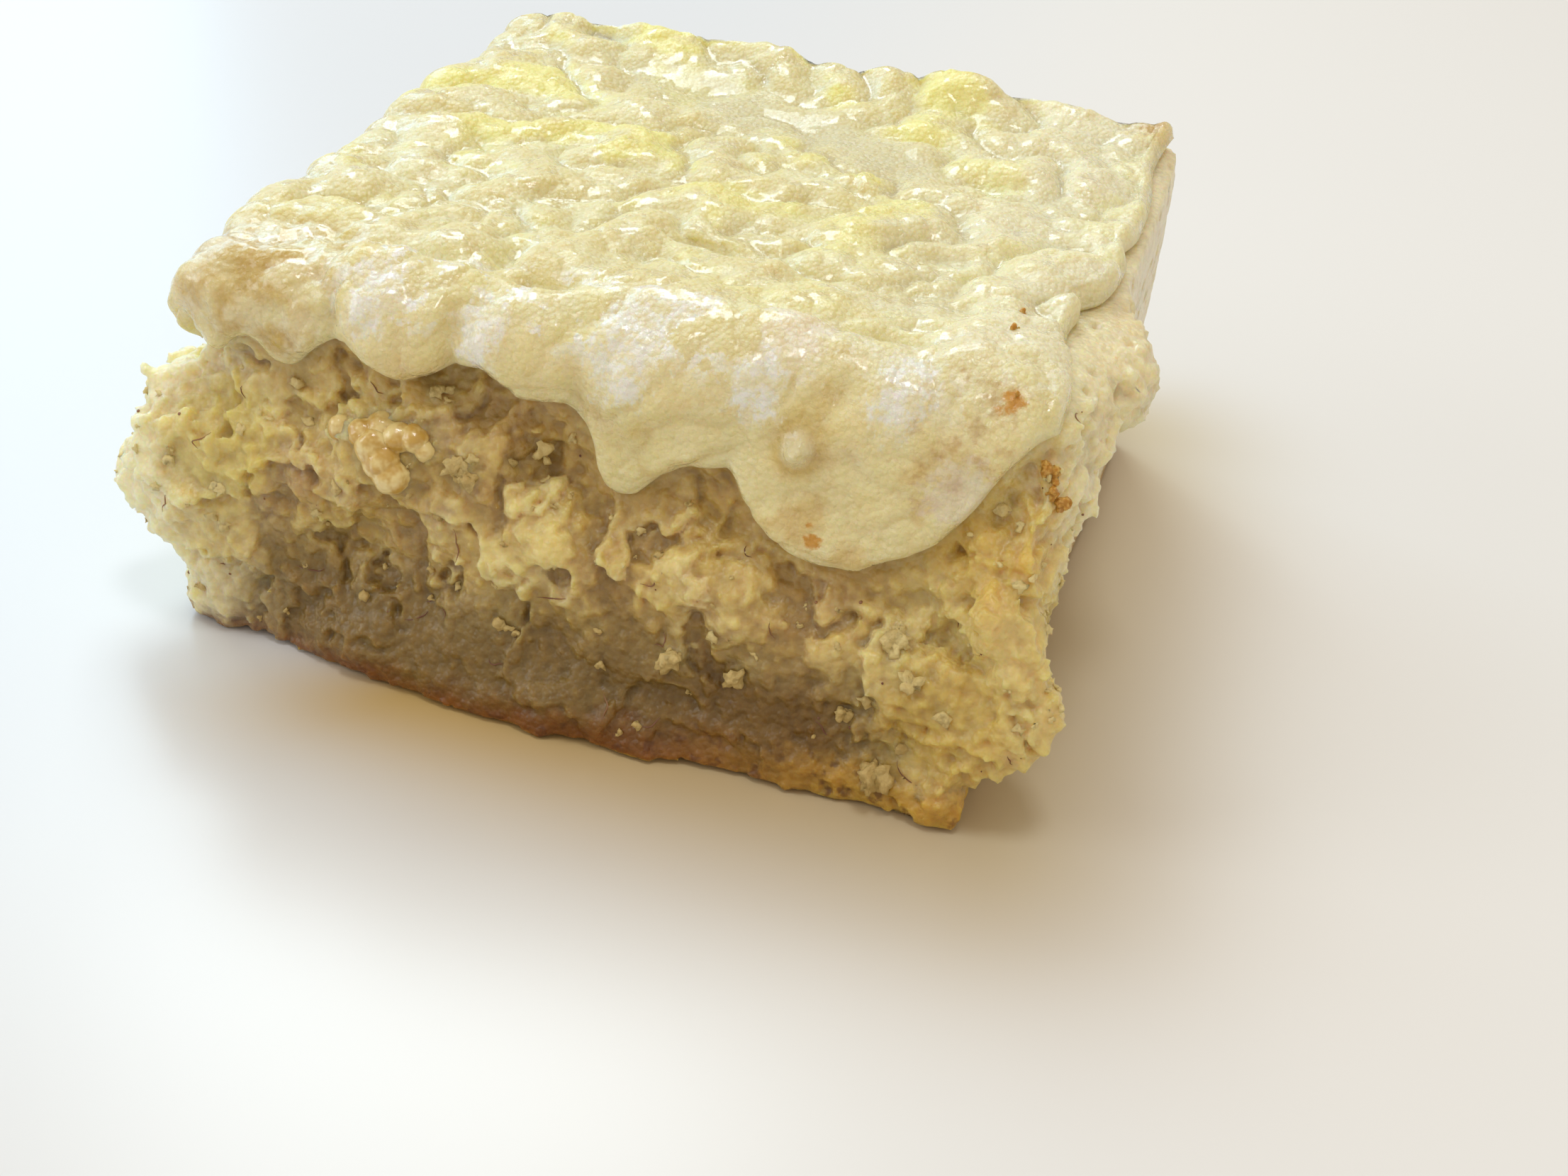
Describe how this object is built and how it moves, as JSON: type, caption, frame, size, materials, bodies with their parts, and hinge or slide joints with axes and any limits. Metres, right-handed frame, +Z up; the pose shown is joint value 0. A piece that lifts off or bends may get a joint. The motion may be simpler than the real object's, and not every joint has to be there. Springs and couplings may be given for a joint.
{
  "type": "banana cake",
  "caption": "Square piece of banana cake, torn at the front, with pale yellow icing poured over the top and running down two sides",
  "frame": {"origin": "the middle of the cake's box, on the flat base", "axes": "+Z up out of the icing, +X along the torn front to the right, +Y from the front to the back"},
  "size_m": [0.0692, 0.0652, 0.0303],
  "materials": {
    "sponge": "moist torn crumb, tan to pale yellow, with a brown baked base",
    "icing": "soft pale yellow icing, wet and glossy over the front edge"
  },
  "bodies": {
    "root": {"sponge": "sponge", "icing": "icing"}
  },
  "joints": []
}
